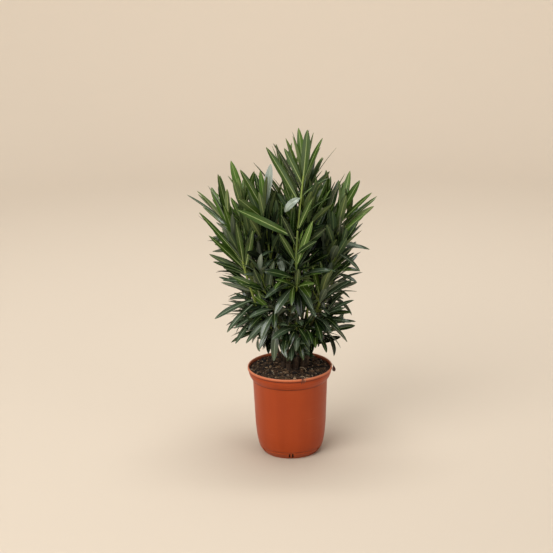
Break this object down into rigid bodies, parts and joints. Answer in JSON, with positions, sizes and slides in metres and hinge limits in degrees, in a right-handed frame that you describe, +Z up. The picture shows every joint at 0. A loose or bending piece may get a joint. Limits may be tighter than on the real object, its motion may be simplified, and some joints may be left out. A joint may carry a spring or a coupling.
{
  "type": "potted oleander",
  "caption": "Evergreen oleander shrub of upright leafy canes, growing in a filled round tapered nursery pot that stands on its flat underside.",
  "frame": {"origin": "middle of the pot's flat underside", "axes": "+Z up along the pot's axis, -Y towards the front of the plant, +X to its right as seen from the front"},
  "size_m": [0.429, 0.3888, 0.813],
  "materials": {
    "pot": "satin terracotta-coloured moulded plastic",
    "soil": "damp dark peat and bark potting soil",
    "bark": "smooth grey-brown to green bark",
    "foliage": "leathery dark green leaves with pale midribs"
  },
  "bodies": {
    "root": {"pot": "pot", "soil": "soil", "cane_centre_tall": "bark", "cane_mid_left": "bark", "cane_left_upper": "bark", "cane_right_upper": "bark", "cane_centre_right": "bark", "cane_back_centre": "bark", "cane_back_left": "bark", "cane_back_right": "bark", "bough_left_outer": "bark", "bough_left_low": "bark", "bough_front_left": "bark", "bough_front_low": "bark", "bough_front": "bark", "bough_front_mid": "bark", "bough_young_right": "bark", "bough_right_low": "bark", "bough_right_mid": "bark", "bough_right_back": "bark", "bough_back_low": "bark", "bough_left_back": "bark", "foliage_centre_tall": "foliage", "foliage_mid_left": "foliage", "foliage_left_upper": "foliage", "foliage_right_upper": "foliage", "foliage_centre_right": "foliage", "foliage_back_centre": "foliage", "foliage_back_left": "foliage", "foliage_back_right": "foliage", "foliage_left_outer": "foliage", "foliage_left_low": "foliage", "foliage_front_left": "foliage", "foliage_front_low": "foliage", "foliage_front": "foliage", "foliage_front_mid": "foliage", "foliage_young_right": "foliage", "foliage_right_low": "foliage", "foliage_right_mid": "foliage", "foliage_right_back": "foliage", "foliage_back_low": "foliage", "foliage_left_back": "foliage"}
  },
  "joints": []
}
